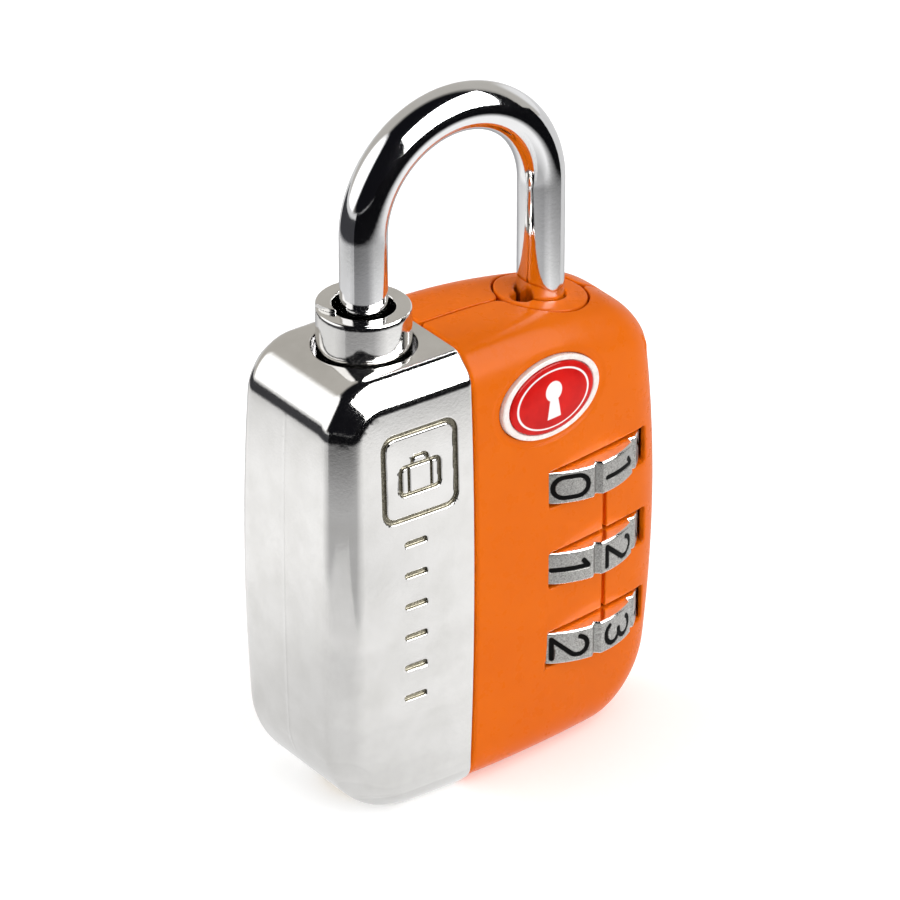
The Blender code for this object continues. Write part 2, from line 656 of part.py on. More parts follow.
spring = coil("shackle_spring", 1.4, 0.25, 6.5, 6, 8, 4)
spring.data.transform(Matrix.Translation((HEEL_X, 0, 13.3)))
finish(spring, SPRING, 60)

# ---- key cylinder ----
barrel = lathe(
    "key_barrel",
    [(2.4, 1.25), (3.3, 1.25), (3.6, 1.55), (3.6, 10.8), (2.4, 10.8)],
    (HEEL_X, 0),
    24,
)
finish(barrel, BRASS)
plug = rod("key_plug", PLUG_R, (HEEL_X, 0), PLUG_Z, 0.25, 20)
cut(plug, box("keyway", (HEEL_X - 0.5, HEEL_X + 0.5), (-1.5, 1.5), (0, 8.6)))
for z in WAFER_Z.values():
    cut(plug, box("wafer_way", (HEEL_X - 1.1, HEEL_X + 1.1), (-3, 3), (z - 0.4, z + 0.4)))
finish(plug, BRASS, origin=(HEEL_X, 0, PLUG_Z[0]))
for name, z in WAFER_Z.items():
    wafer = box(f"wafer_{name}", (HEEL_X - 0.9, HEEL_X + 0.9), (-1.95, 1.95), (z - 0.25, z + 0.25))
    cut(wafer, box("window", (HEEL_X - 0.5, HEEL_X + 0.5), (-1.2, 1.2), (z - 1, z + 1)))
    finish(wafer, STEEL, origin=(HEEL_X, 0, z))

cam = rod("key_cam", 2.4, (HEEL_X, 0), CAM_Z, 0.15, 20)
join(cam, rod("lobe", 1.2, (HEEL_X + 2.2, 0), CAM_Z, 0.15, 12))
finish(cam, STEEL, origin=(HEEL_X, 0, CAM_Z[0]))
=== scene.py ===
"""Luggage combination padlock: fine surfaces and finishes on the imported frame.

Lengths are in millimetres until a mesh is finished, and MM turns them into metres. The frame: X runs from the
heel of the shackle to its toe, Y from the dial face to the back, Z up. Each fine piece is written as a field,
a function of x, y and z that is negative inside the piece, roughly the distance to its surface. surface()
meshes where the field is zero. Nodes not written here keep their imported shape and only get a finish.
"""

import json
import math

import bpy
import numpy as np
import openvdb
from mathutils import Matrix, Vector


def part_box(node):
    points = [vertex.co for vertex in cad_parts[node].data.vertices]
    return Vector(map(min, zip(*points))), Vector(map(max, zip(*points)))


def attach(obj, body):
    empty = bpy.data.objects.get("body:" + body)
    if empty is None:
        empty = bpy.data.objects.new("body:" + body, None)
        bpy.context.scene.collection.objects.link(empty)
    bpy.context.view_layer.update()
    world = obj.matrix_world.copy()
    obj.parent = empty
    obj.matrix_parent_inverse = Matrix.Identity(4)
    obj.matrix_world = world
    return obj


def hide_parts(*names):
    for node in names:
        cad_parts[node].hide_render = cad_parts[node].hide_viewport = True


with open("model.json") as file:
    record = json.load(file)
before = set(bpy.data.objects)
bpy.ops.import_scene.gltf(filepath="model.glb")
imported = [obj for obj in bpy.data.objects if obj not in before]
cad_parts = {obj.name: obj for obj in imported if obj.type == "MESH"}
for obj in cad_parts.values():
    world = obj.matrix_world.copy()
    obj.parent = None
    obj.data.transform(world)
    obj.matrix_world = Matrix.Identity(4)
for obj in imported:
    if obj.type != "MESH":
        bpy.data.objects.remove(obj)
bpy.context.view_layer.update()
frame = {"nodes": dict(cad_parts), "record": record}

MM = 0.001
FINE = 1.0


def span(node):
    low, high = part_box(node)
    return low / MM, high / MM


# ---- places and sizes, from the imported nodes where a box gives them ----
collar_low, collar_high = span("setting_collar")
dial_low, dial_high = span("dial_top")
HEEL_X = (collar_low.x + collar_high.x) / 2
TOE_X = (dial_low.x + dial_high.x) / 2
COLLAR_R = (collar_high.y - collar_low.y) / 2
DIAL_Z = {name: sum(p.z for p in span(f"dial_{name}")) / 2 for name in ("top", "middle", "bottom")}

BODY_W, BODY_H = 35.9, 41.6
HALF_DEPTH = 7.95  # where the front and back faces stand proudest, at CROWN_X, CROWN_Z
CROWN_X, CROWN_Z = -5.75, 20.8
CROWN_LEFT, CROWN_RIGHT, CROWN_RISE = 0.0012, 0.0049, 0.00154
CHAMFER = 1.8
CORNERS = {"top_right": 5.0, "top_left": 4.5, "bottom_left": 8.0, "bottom_right": 7.0}
WALL = 1.3
SEAM_X, SEAM_GAP = -4.12, 0.16  # between end block and shells, and between the two shells

ROD_R, ARCH_Z = 2.0, 51.25
HEEL_END_Z, TOE_END_Z = 20.0, 34.6
COLLAR_BORE_R, COLLAR_STEP = 2.6, 0.35
POCKET_R, POCKET_Z = 4.37, 32.5
CLIP_Z = (38.3, 39.2)  # the groove for the clip that holds the collar
RESET_Z = (31.05, 32.6)  # the slot of the reset slider
KEY_BORE_R, KEY_BORE_TOP = 3.7, 12.3
PIN_X, PIN_Z, PIN_BORE_R = -11.65, 29.4, 0.78  # the pin that keeps the heel in

DIAL_R, DIAL_H, DIAL_BORE_R = 8.35, 3.1, 3.25
WINDOW_X, WINDOW_H = (3.75, 15.1), 3.45
INDEX_X, INDEX_HALF, INDEX_DEPTH = 10.1, 0.23, 0.5  # the line that the code is read at
CASE_PINS = ((14.3, 35.2), (12.5, 4.6), (1.2, 3.9))
POST_R, DOWEL_R = 1.5, 0.85
TOE_RECESS_R, TOE_RECESS_Z = 4.12, 38.0
BADGE_AT, BADGE_SIZE = (4.0, 35.2), (10.7, 7.1)
BADGE_REACH = 3.6  # turns a share of the badge's size into about a distance at its edge


# ---- fields ----
def both(a, b, soft=0.0):
    """Inside a and b, with the edge between them rounded over about soft."""
    if not soft:
        return np.maximum(a, b)
    near = np.maximum(soft - np.abs(a - b), 0) / soft
    return np.maximum(a, b) + near * near * soft / 4


def either(a, b, soft=0.0):
    return -both(-a, -b, soft)


def without(a, b, soft=0.0):
    return both(a, -b, soft)


def between(value, low, high):
    """A slab: negative where value is between low and high."""
    return np.abs(value - (low + high) / 2) - (high - low) / 2


def block(x, y, z, xs, ys, zs, soft=0.0):
    return both(both(between(x, *xs), between(y, *ys), soft), between(z, *zs), soft)


def around(x, y, centre_x, radius):
    """A vertical cylinder with its axis at y = 0."""
    return np.hypot(x - centre_x, y) - radius


def half_depth(x, z):
    """How far the crowned front and back faces stand from the middle plane."""
    bow = np.where(x < CROWN_X, CROWN_LEFT, CROWN_RIGHT)
    return HALF_DEPTH - bow * (x - CROWN_X) ** 2 - CROWN_RISE * (z - CROWN_Z) ** 2


def outline(x, z):
    """The front outline, whose sides bow out: straightens them, then measures to a rounded rectangle."""
    flat_x, flat_z = x, z
    for _ in range(3):
        left = 0.0014 * (flat_z - 22) ** 2 * np.clip(-flat_x / 17, 0, 1)
        right = 0.0036 * (flat_z - 21.5) ** 2 * np.clip(flat_x / 17, 0, 1)
        flat_x = x - left + right
        flat_z = z + 0.0062 * np.maximum(0, flat_x + 2) ** 2 * np.maximum(0, flat_z / BODY_H) ** 2
    upper, righter = flat_z > BODY_H / 2, flat_x > 0
    top = np.where(righter, CORNERS["top_right"], CORNERS["top_left"])
    bottom = np.where(righter, CORNERS["bottom_right"], CORNERS["bottom_left"])
    radius = np.where(upper, top, bottom)
    across = np.abs(flat_x) - BODY_W / 2 + radius
    up = np.abs(flat_z - BODY_H / 2) - BODY_H / 2 + radius
    return np.minimum(np.maximum(across, up), 0) + np.hypot(np.maximum(across, 0), np.maximum(up, 0)) - radius


def body(x, y, z, shrink=0.0, soft=0.4):
    """The whole body with its chamfered front and back edges, smaller by shrink all round."""
    side = outline(x, z) + shrink
    face = np.abs(y) - half_depth(x, z) + shrink
    return both(both(side, face, soft), (side + face + CHAMFER) / math.sqrt(2), soft)


def segment(px, pz, a, b):
    """Distance in a plane to the line from a to b."""
    ax, az = a
    dx, dz = b[0] - ax, b[1] - az
    share = np.clip(((px - ax) * dx + (pz - az) * dz) / (dx * dx + dz * dz), 0, 1)
    return np.hypot(px - ax - share * dx, pz - az - share * dz)


def rounded_box(px, pz, centre, size, radius):
    """Distance in a plane to a rounded rectangle, negative inside."""
    across = np.abs(px - centre[0]) - size[0] / 2 + radius
    up = np.abs(pz - centre[1]) - size[1] / 2 + radius
    return np.minimum(np.maximum(across, up), 0) + np.hypot(np.maximum(across, 0), np.maximum(up, 0)) - radius


# ---- from a field to a mesh ----
def surface(name, field, low, high, step, adaptivity, masks):
    """Meshes where field is zero. Points and normals come from the field, so reflections run smoothly."""
    step *= FINE
    axes = [np.arange(a - 2.5 * step, b + 3 * step, step, dtype=np.float32) for a, b in zip(low, high)]
    values = field(*np.meshgrid(*axes, indexing="ij", sparse=True))
    grid = openvdb.FloatGrid(3.0)
    grid.copyFromArray(np.ascontiguousarray(np.clip(values / step, -3, 3), dtype=np.float32))
    points, triangles, quads = grid.convertToPolygons(isovalue=0.0, adaptivity=adaptivity)
    points = np.array([axis[0] for axis in axes]) + points.astype(float) * step

    def slope(at, reach=0.01):
        columns = []
        for axis in range(3):
            shift = np.zeros(3)
            shift[axis] = reach
            columns.append((field(*(at + shift).T) - field(*(at - shift).T)) / (2 * reach))
        return np.stack(columns, axis=1)

    for _ in range(3):
        gradient = slope(points)
        size = np.maximum((gradient**2).sum(1), 0.2)
        move = -(field(*points.T) / size)[:, None] * gradient
        length = np.maximum(np.linalg.norm(move, axis=1, keepdims=True), 1e-9)
        points += move * np.minimum(1, 0.6 * step / length)

    mesh = bpy.data.meshes.new(name)
    faces = [*triangles.tolist(), *quads.tolist()]
    mesh.from_pydata((points * MM).tolist(), [], faces)
    mesh.validate()
    normals = slope(points)
    normals /= np.maximum(np.linalg.norm(normals, axis=1, keepdims=True), 1e-9)
    mesh.shade_smooth()
    mesh.normals_split_custom_set_from_vertices(normals.tolist())
    for mask, of in (masks or {}).items():
        layer = mesh.attributes.new(mask, "FLOAT", "POINT")
        layer.data.foreach_set("value", of(*points.T).astype(np.float32))
    made = bpy.data.objects.new(name, mesh)
    bpy.context.scene.collection.objects.link(made)
    return made


# ---- node materials ----
class Nodes:
    """A short way to write a shader tree. An input goes by its name in Blender, or by its place: i0, i1."""

    def __init__(self, name):
        self.material = bpy.data.materials.new(name)
        self.material.use_nodes = True
        self.tree = self.material.node_tree
        self.shader = self.tree.nodes["Principled BSDF"]

    def add(self, kind, settings=None, **inputs):
        node = self.tree.nodes.new(kind)
        for key, value in (settings or {}).items():
            setattr(node, key, value)
        for key, value in inputs.items():
            numbered = key[0] == "i" and key[1:].isdigit()
            self.put(node.inputs[int(key[1:]) if numbered else key.replace("_", " ")], value)
        return node

    def put(self, socket, value):
        if isinstance(value, bpy.types.NodeSocket):
            self.tree.links.new(value, socket)
        elif isinstance(value, tuple) and len(value) == 3 and socket.type == "RGBA":
            socket.default_value = (*value, 1)
        else:
            socket.default_value = value

    def set(self, **inputs):
        for key, value in inputs.items():
            self.put(self.shader.inputs[key.replace("_", " ")], value)

    def place(self):
        return self.add("ShaderNodeTexCoord").outputs["Object"]

    def noise(self, per_mm, detail=3.0, roughness=0.5):
        """Noise with that many features to the millimetre, from about 0 to 1."""
        look = {"Scale": per_mm / MM, "Detail": detail, "Roughness": roughness}
        return self.add("ShaderNodeTexNoise", Vector=self.place(), **look).outputs["Fac"]

    def ramp(self, value, low, high, to=(0.0, 1.0)):
        node = self.add("ShaderNodeMapRange", i1=low, i2=high, i3=to[0], i4=to[1])
        self.put(node.inputs["Value"], value)
        return node.outputs["Result"]

    def math(self, operation, a, b=0.0):
        return self.add("ShaderNodeMath", {"operation": operation}, i0=a, i1=b).outputs[0]

    def mix(self, share, a, b):
        node = self.add("ShaderNodeMix", {"data_type": "RGBA"})
        self.put(node.inputs["Factor"], share)
        self.put(node.inputs["A"], a)
        self.put(node.inputs["B"], b)
        return node.outputs["Result"]

    def bump(self, height, depth_mm, strength=1.0, before=None):
        node = self.add("ShaderNodeBump", Height=height, Distance=depth_mm * MM, Strength=strength)
        if before is not None:
            self.put(node.inputs["Normal"], before)
        return node.outputs["Normal"]

    def mask(self, name):
        return self.add("ShaderNodeAttribute", {"attribute_name": name}).outputs["Fac"]


def metal(name, colour, dull, roughness, grain, grain_depth, wave_depth=0.0, pits=0.0):
    """Metal whose colour drifts towards dull in patches, with a fine grain and a varying roughness."""
    n = Nodes(name)
    tint = n.mix(n.ramp(n.noise(0.35, 4), 0.35, 0.7), colour, dull)
    if pits:
        share = n.math("MULTIPLY", n.ramp(n.noise(5.0, 2), 0.62, 0.72), pits)
        tint = n.mix(share, tint, tuple(c * 0.45 for c in dull))
    n.set(Base_Color=tint, Metallic=1.0)
    fine = n.noise(grain, 4, 0.65)
    n.set(Roughness=n.ramp(fine, 0.3, 0.75, roughness))
    bumped = n.bump(fine, grain_depth)
    if wave_depth:
        bumped = n.bump(n.noise(0.22, 1), wave_depth, before=bumped)
    n.set(Normal=bumped)
    return n


def plated(name, mark):
    """Bright nickel plate on a die casting, with a darker patina where the mesh has the mark."""
    n = metal(name, (0.80, 0.79, 0.775), (0.73, 0.72, 0.70), (0.06, 0.13), 3.6, 0.004, 0.006)
    tint = n.shader.inputs["Base Color"].links[0].from_socket
    stain = n.mix(n.ramp(n.noise(6, 3), 0.35, 0.65), (0.13, 0.12, 0.09), (0.30, 0.28, 0.22))
    n.set(Base_Color=n.mix(n.mask(mark), tint, stain))
    rough = n.shader.inputs["Roughness"].links[0].from_socket
    n.set(Roughness=n.math("ADD", rough, n.ramp(n.mask(mark), 0.0, 1.0, (0.0, 0.3))))
    return n.material


def painted():
    """Semi-gloss orange enamel with a faint orange-peel surface, a shade deeper and duller in patches."""
    n = Nodes("orange_paint")
    patches = n.ramp(n.noise(0.16, 4, 0.6), 0.3, 0.7)
    n.set(Base_Color=n.mix(patches, (0.72, 0.136, 0.0005), (0.69, 0.124, 0.0005)))
    n.set(Roughness=n.ramp(n.noise(0.8, 5, 0.6), 0.3, 0.7, (0.25, 0.33)))
    n.set(Normal=n.bump(n.noise(1.6, 2, 0.5), 0.0025))
    n.set(Specular_IOR_Level=0.07, Coat_Weight=0.03, Coat_Roughness=0.12)
    return n.material


def dial_metal():
    """Blasted nickel on the faces, bright on the bevels, black enamel in the digits."""
    n = Nodes("satin_dial")
    speck = n.noise(7.5, 3, 0.7)
    faces = n.mix(n.ramp(speck, 0.35, 0.68), (0.22, 0.215, 0.205), (0.56, 0.55, 0.53))
    tint = n.mix(n.mask("bevel"), faces, (0.84, 0.83, 0.81))
    ink = n.mask("ink")
    n.set(Base_Color=n.mix(ink, tint, (0.006, 0.006, 0.006)))
    n.set(Metallic=n.math("SUBTRACT", 1.0, ink), Specular_IOR_Level=0.02)
    blasted = n.ramp(speck, 0.3, 0.7, (0.28, 0.42))
    bright = n.ramp(n.mask("bevel"), 0.0, 1.0, (1.0, 0.35))
    n.set(Roughness=n.math("MULTIPLY", blasted, bright))
    n.set(Normal=n.bump(speck, 0.006, 0.7))
    return n.material


def resin():
    """Clear-coated red badge with a white keyhole and a thin white ring printed under the resin."""
    n = Nodes("red_resin")

    def size(value):
        return n.math("ABSOLUTE", value)

    def length(a, b):
        return n.math("SQRT", n.math("ADD", n.math("MULTIPLY", a, a), n.math("MULTIPLY", b, b)))

    at = n.add("ShaderNodeSeparateXYZ", Vector=n.place())
    across = n.math("MULTIPLY", n.math("SUBTRACT", at.outputs["X"], BADGE_AT[0] * MM), 1 / MM)
    up = n.math("MULTIPLY", n.math("SUBTRACT", at.outputs["Z"], BADGE_AT[1] * MM), 1 / MM)
    head = n.ramp(length(across, n.math("SUBTRACT", up, 0.75)), 0.92, 0.86)
    flare = n.math("SUBTRACT", size(across), n.ramp(up, 0.6, -1.7, (0.34, 0.72)))
    tall = n.ramp(size(n.math("ADD", up, 0.5)), 1.24, 1.18)
    stem = n.math("MULTIPLY", n.ramp(flare, 0.04, -0.02), tall)
    oval = length(n.math("DIVIDE", across, BADGE_SIZE[0] / 2), n.math("DIVIDE", up, BADGE_SIZE[1] / 2))
    ring = n.ramp(size(n.math("SUBTRACT", oval, 0.72)), 0.024, 0.014)
    white = n.math("MAXIMUM", n.math("MAXIMUM", head, stem), ring)
    red = n.mix(n.ramp(n.noise(0.5, 3), 0.35, 0.65), (0.64, 0.009, 0.006), (0.50, 0.005, 0.004))
    n.set(Base_Color=n.mix(white, red, (0.86, 0.82, 0.82)))
    n.set(Roughness=n.ramp(n.noise(1.5, 3), 0.3, 0.7, (0.3, 0.42)))
    n.set(Normal=n.bump(n.noise(0.9, 2), 0.002))
    n.set(Coat_Weight=0.25, Coat_Roughness=0.03, Coat_IOR=1.5, Specular_IOR_Level=0.03)
    return n.material


def pale_plastic():
    """The moulded rim of the badge."""
    n = Nodes("badge_rim")
    n.set(Base_Color=n.mix(n.ramp(n.noise(1.2, 3), 0.35, 0.65), (0.86, 0.80, 0.77), (0.80, 0.72, 0.68)))
    n.set(Roughness=n.ramp(n.noise(3, 3), 0.3, 0.7, (0.22, 0.34)), Normal=n.bump(n.noise(4, 2), 0.002))
    return n.material


# By name: colour, dull colour, roughness, grain, grain depth, wave depth and share of pits.
BARE = {
    "chrome_steel": ((0.83, 0.83, 0.84), (0.78, 0.78, 0.78), (0.04, 0.09), 3.4, 0.0022, 0.004),
    "die_cast_zinc": ((0.46, 0.47, 0.48), (0.36, 0.37, 0.38), (0.4, 0.6), 2.0, 0.02, 0.02, 0.5),
    "plain_steel": ((0.53, 0.53, 0.54), (0.44, 0.43, 0.42), (0.25, 0.42), 3.0, 0.004),
    "spring_steel": ((0.36, 0.36, 0.38), (0.28, 0.28, 0.30), (0.2, 0.35), 4.0, 0.004),
    "brass": ((0.74, 0.54, 0.24), (0.60, 0.42, 0.17), (0.2, 0.38), 3.0, 0.004, 0.004, 0.3),
}
FINISH = {
    "bright_nickel": plated("bright_nickel", "mark"),
    "orange_paint": painted(),
    "satin_dial": dial_metal(),
    "red_resin": resin(),
    "badge_rim": pale_plastic(),
    **{name: metal(name, *look).material for name, look in BARE.items()},
}


def build(name, node, field, step, rides, finish, adaptivity=0.01, masks=None):
    """Meshes a field within its node's box, and puts the piece in place of the node."""
    piece = surface(name, field, *span(node), step, adaptivity, masks)
    piece.data.materials.append(FINISH[finish])
    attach(piece, rides)
    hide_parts(node)


# ---- end block ----
FRAME_AT, FRAME_SIZE = (-9.65, 32.9), (7.15, 7.75)
CASE_AT, CASE_SIZE = (-9.65, 32.5), (3.85, 2.55)
BAR_X, BAR_FIRST_Z, BAR_PITCH = (-11.05, -9.35), 26.6, 2.95
ENGRAVED = 0.28
PARTING_RISE, PARTING_HALF, PARTING_Z = 0.035, 0.09, (4.5, 37.6)


def marks(x, z):
    """The engraved strokes on the end block: a rounded frame round a suitcase, and six bars below it."""
    bottom, top = CASE_AT[1] - CASE_SIZE[1] / 2, CASE_AT[1] + CASE_SIZE[1] / 2
    handle = np.abs(rounded_box(x, z, (CASE_AT[0], top), (1.5, 1.5), 0.4)) - 0.15
    strokes = [
        np.abs(rounded_box(x, z, FRAME_AT, FRAME_SIZE, 1.08)) - 0.23,
        np.abs(rounded_box(x, z, CASE_AT, CASE_SIZE, 0.45)) - 0.17,
        np.maximum(handle, top - z),
    ]
    for strap in (CASE_AT[0] - 1.12, CASE_AT[0] + 1.12):
        strokes.append(segment(x, z, (strap, bottom), (strap, top)) - 0.12)
    for row in range(6):
        middle = BAR_FIRST_Z - BAR_PITCH * row
        strokes.append(segment(x, z, (BAR_X[0], middle), (BAR_X[1], middle)) - 0.27)
    return np.minimum.reduce(np.broadcast_arrays(*strokes))


def engraving(x, y, z):
    floor = ENGRAVED - half_depth(x, z)
    return both(both(marks(x, z), y - floor, 0.12), y + 2.0)


def engraved(x, y, z):
    """1 on the floor and walls of an engraved line, 0 on the plated face."""
    depth = (y + half_depth(x, z)) / ENGRAVED
    return np.clip((depth - 0.2) / 0.3, 0, 1) * (marks(x, z) < 0.12) * (y < 0)


def parting_ridge(x, y, z):
    """How far the faint parting line of the casting stands out, on the left side only."""
    on_left = 1 - np.clip((x + 17.0) / 0.6, 0, 1)
    fade = np.clip(np.minimum(z - PARTING_Z[0], PARTING_Z[1] - z) / 1.5, 0, 1)
    return PARTING_RISE * np.exp(-((y / PARTING_HALF) ** 2)) * on_left * fade


def housing(x, y, z):
    f = body(x, y, z, soft=0.5) - parting_ridge(x, y, z)
    f = both(f, x - (SEAM_X - SEAM_GAP / 2), 0.3)
    f = without(f, engraving(x, y, z), 0.1)
    f = without(f, both(around(x, y, HEEL_X, POCKET_R), POCKET_Z - z), 0.3)
    f = without(f, both(around(x, y, HEEL_X, 4.75), between(z, *CLIP_Z)))
    f = without(f, both(around(x, y, HEEL_X, ROD_R + 0.2), between(z, 13.1, 33.5)))
    f = without(f, both(around(x, y, HEEL_X, KEY_BORE_R), z - KEY_BORE_TOP), 0.25)
    f = without(f, block(x, y, z, (-14.2, -4.75), (-4.2, 4.2), RESET_Z))
    f = without(f, block(x, y, z, (-6, 0), (-1.95, 1.95), RESET_Z))
    f = without(f, both(np.hypot(x - PIN_X, z - PIN_Z) - PIN_BORE_R, -6.0 - y), 0.12)
    for screw_z in (DIAL_Z["top"], DIAL_Z["middle"]):
        f = without(f, both(np.hypot(y, z - screw_z) - 0.85, -7.4 - x))
    return f


build("end_block", "end_housing", housing, 0.08, "lock_body", "bright_nickel", masks={"mark": engraved})


# ---- orange shells and the disc round the toe ----
def badge_frame():
    """The axes of the badge: right, up and out of the front face."""
    x, z = BADGE_AT
    slope_x, slope_z = 2 * CROWN_RIGHT * (x - CROWN_X), 2 * CROWN_RISE * (z - CROWN_Z)
    out = Vector((slope_x, -1, slope_z)).normalized()
    right = Vector((1, slope_x, 0)).normalized()
    return right, out.cross(right), out


BADGE_RIGHT, BADGE_UP, BADGE_OUT = badge_frame()
BADGE_MIDDLE = Vector((BADGE_AT[0], -float(half_depth(*BADGE_AT)), BADGE_AT[1]))


def badge_place(x, y, z):
    """(share of the way from the badge's middle to its edge, height above the front face)"""
    dx, dy, dz = x - BADGE_MIDDLE.x, y - BADGE_MIDDLE.y, z - BADGE_MIDDLE.z
    across = dx * BADGE_RIGHT.x + dy * BADGE_RIGHT.y + dz * BADGE_RIGHT.z
    up = dx * BADGE_UP.x + dy * BADGE_UP.y + dz * BADGE_UP.z
    out = dx * BADGE_OUT.x + dy * BADGE_OUT.y + dz * BADGE_OUT.z
    return np.hypot(across / (BADGE_SIZE[0] / 2), up / (BADGE_SIZE[1] / 2)), out


def window(x, y, z, middle, side):
    level = np.abs(z - middle) - WINDOW_H / 2
    opening = both(both(between(x, *WINDOW_X), level, 0.35), 3.0 - side * y)
    room = both(around(x, y, TOE_X, DIAL_R + 0.2), level)
    return either(opening, room)


def shell(side):
    def field(x, y, z):
        f = body(x, y, z, soft=1.5)
        f = without(f, body(x, y, z, WALL, 0.6))
        for pin_x, pin_z in CASE_PINS:
            post = np.hypot(x - pin_x, z - pin_z)
            reach = half_depth(pin_x, pin_z) - 0.9
            f = either(f, both(post - POST_R, between(side * y, 0.25, reach)), 0.2)
            f = without(f, both(post - DOWEL_R, side * y - 3.7))
        for middle in DIAL_Z.values():
            f = without(f, window(x, y, z, middle, side), 0.22)
        face = side * y - half_depth(x, z)
        for upper, lower in (("top", "middle"), ("middle", "bottom")):
            line = both(np.abs(x - INDEX_X) - INDEX_HALF, -(face + INDEX_DEPTH), 0.1)
            run = between(z, DIAL_Z[lower] + WINDOW_H / 2 - 0.3, DIAL_Z[upper] - WINDOW_H / 2 + 0.3)
            f = without(f, both(line, run), 0.1)
        if side < 0:
            share, out = badge_place(x, y, z)
            sunk = both((share - 1.15) * BADGE_REACH, -0.22 - out, 0.2)
            f = without(f, both(sunk, 3 - np.abs(y)), 0.2)
            f = without(f, both((share - 1.015) * BADGE_REACH, -0.55 - out), 0.1)
        gap = SEAM_GAP / 2 - side * y
        opening = either(around(x, y, TOE_X, TOE_RECESS_R), -gap, 1.0)
        f = without(f, both(opening, TOE_RECESS_Z - z), 0.16)
        f = both(f, gap, 0.18)
        return both(f, SEAM_X + SEAM_GAP / 2 - x, 0.35)

    return field


for name, side in (("front", -1), ("rear", 1)):
    build(f"{name}_case", f"{name}_shell", shell(side), 0.1, "lock_body", "orange_paint")


def toe_disc(x, y, z):
    f = both(body(x, y, z, soft=1.5), both(around(x, y, TOE_X, 3.95), 38.55 - z), 0.22)
    flange = both(body(x, y, z, WALL + 0.3), both(around(x, y, TOE_X, 4.5), between(z, 38.25, 39.2)))
    keyhole = either(around(x, y, TOE_X, ROD_R + 0.18), np.hypot(x - TOE_X + 2.35, y + 0.5) - 0.9, 0.15)
    return without(either(f, flange), keyhole, 0.3)


build("toe_ring", "toe_disc", toe_disc, 0.07, "lock_body", "orange_paint")


# ---- shackle ----
ARCH_X, ARCH_R = (HEEL_X + TOE_X) / 2, (TOE_X - HEEL_X) / 2


def shackle(x, y, z):
    arch = np.hypot(np.hypot(x - ARCH_X, z - ARCH_Z) - ARCH_R, y) - ROD_R
    legs = np.hypot(np.abs(x - ARCH_X) - ARCH_R, y) - ROD_R
    end = np.where(x < ARCH_X, HEEL_END_Z, TOE_END_Z) - z
    f = np.where(z > ARCH_Z, arch, both(legs, end, 0.7))
    heel_flat = block(x, y, z, (HEEL_X - 3, HEEL_X - 1.0), (-3, 3), (21.1, 30.3), 0.2)
    toe_notch = block(x, y, z, (TOE_X - 3, TOE_X - 1.15), (-3, 3), (35.85, 37.45), 0.2)
    return without(without(f, heel_flat, 0.15), toe_notch, 0.15)


build("bow", "shackle", shackle, 0.16, "shackle_body", "chrome_steel", adaptivity=0.0)


# ---- setting collar ----
def collar(x, y, z):
    radius = np.hypot(x - HEEL_X, y)
    turn = np.arctan2(y, x - HEEL_X)
    ring = both(radius - COLLAR_R, z - (collar_high.z - COLLAR_STEP), 0.3)
    slanting_end = math.radians(148) + 0.42 * (COLLAR_R - radius)
    sector = both((turn - slanting_end) * radius, (math.radians(60) - turn) * radius)
    raised = both(both(radius - COLLAR_R, z - collar_high.z, 0.2), both(sector, 40 - z), 0.03)
    f = both(either(ring, raised), COLLAR_BORE_R - radius, 0.3)
    f = both(f, 32.75 - z)
    f = without(f, both(between(z, 38.25, 39.25), 3.5 - radius))
    lug = math.radians(-55)
    lug_x, lug_y = HEEL_X + 3.3 * math.cos(lug), 3.3 * math.sin(lug)
    return either(f, both(np.hypot(x - lug_x, y - lug_y) - 0.5, between(z, 31.5, 34.0), 0.1))


build("collar", "setting_collar", collar, 0.06, "collar_body", "bright_nickel")


# ---- dials ----
def arc(cx, cy, rx, ry, start, end, steps=10):
    """Points on an ellipse, from start to end degrees."""
    turns = [math.radians(start + (end - start) * i / steps) for i in range(steps + 1)]
    return [(cx + rx * math.cos(t), cy + ry * math.sin(t)) for t in turns]


# Each digit is a few open lines of (across, up), in a box from -1 to 1 across and -1.6 to 1.6 up.
DIGITS = (
    [arc(0, 0.55, 0.95, 1.0, 0, 180) + arc(0, -0.55, 0.95, 1.0, 180, 360) + [(0.95, 0.55)]],
    [[(0.1, -1.6), (0.1, 1.6), (-0.45, 1.2)]],
    [arc(0, 0.72, 0.85, 0.88, 165, -28) + [(-0.88, -1.55), (0.95, -1.55)]],
    [arc(0, 0.78, 0.82, 0.78, 150, -80) + [(-0.1, 0.02)] + arc(0, -0.74, 0.92, 0.8, 80, -150)],
    [[(0.45, -1.6), (0.45, 1.55), (-0.95, -0.75), (0.95, -0.75)]],
    [[(0.8, 1.55), (-0.6, 1.55), (-0.72, 0.25)] + arc(0, -0.55, 0.92, 1.0, 125, -150)],
    [[(0.6, 1.5)] + arc(0.35, 0.0, 1.28, 1.6, 110, 180) + arc(0, -0.65, 0.92, 0.92, 180, 540, 18)],
    [[(-0.9, 1.55), (0.9, 1.55), (-0.25, -1.6)]],
    [arc(0, 0.82, 0.76, 0.74, -90, 270, 16), arc(0, -0.76, 0.92, 0.84, 90, 450, 16)],
    [[(-0.6, -1.5)] + arc(-0.35, 0.0, 1.28, 1.6, -70, 0) + arc(0, 0.65, 0.92, 0.92, 0, 360, 18)],
)
FACE = math.radians(36)
DIGIT_HEIGHT, DIGIT_WIDTH = 3.3 / 3.2, 2.05 / 2  # mm for one unit of the box
STROKE, INK_DEPTH = 0.2, 0.09
GROOVE_HALF, GROOVE_DEPTH = 0.46, 0.42
DIAL_BEVEL = 0.13
TABLE_STEP = 0.03


